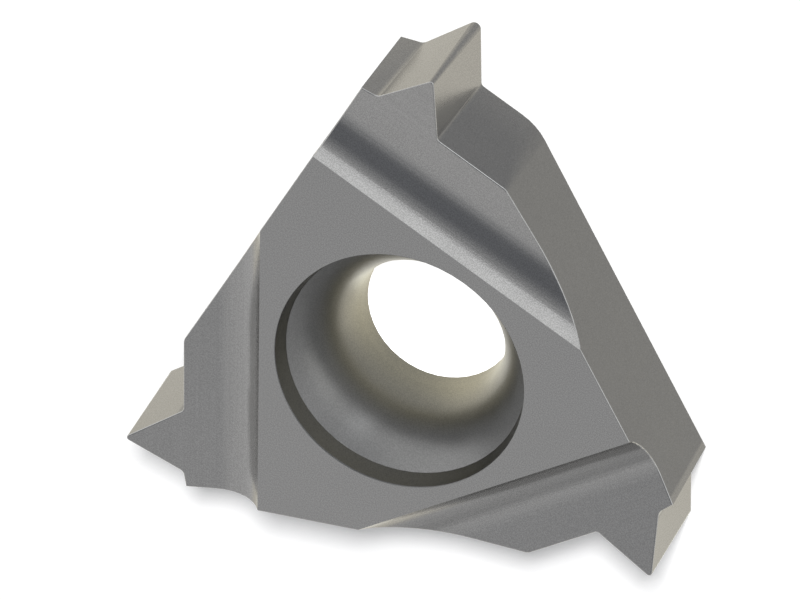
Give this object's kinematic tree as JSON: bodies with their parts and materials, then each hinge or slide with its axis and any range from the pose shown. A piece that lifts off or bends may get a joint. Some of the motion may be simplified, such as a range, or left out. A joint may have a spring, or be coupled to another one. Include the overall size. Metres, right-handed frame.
{
  "type": "threading insert",
  "caption": "Flat triangular threading insert with a sharp thread-form tooth at each corner, a ground rake recess behind each tooth and a stepped hole for its clamping screw.",
  "frame": {"origin": "where the axis of the screw hole meets the rest face", "axes": "+Z out of the cutting side, along the screw hole; -Y towards the corner whose tooth stands at the front; +X out of the long side next to that tooth"},
  "size_m": [0.0129, 0.0143, 0.0034],
  "materials": {
    "carbide": "fine-ground uncoated cemented carbide, satin grey"
  },
  "bodies": {
    "root": {"threading_insert": "carbide"}
  },
  "joints": []
}
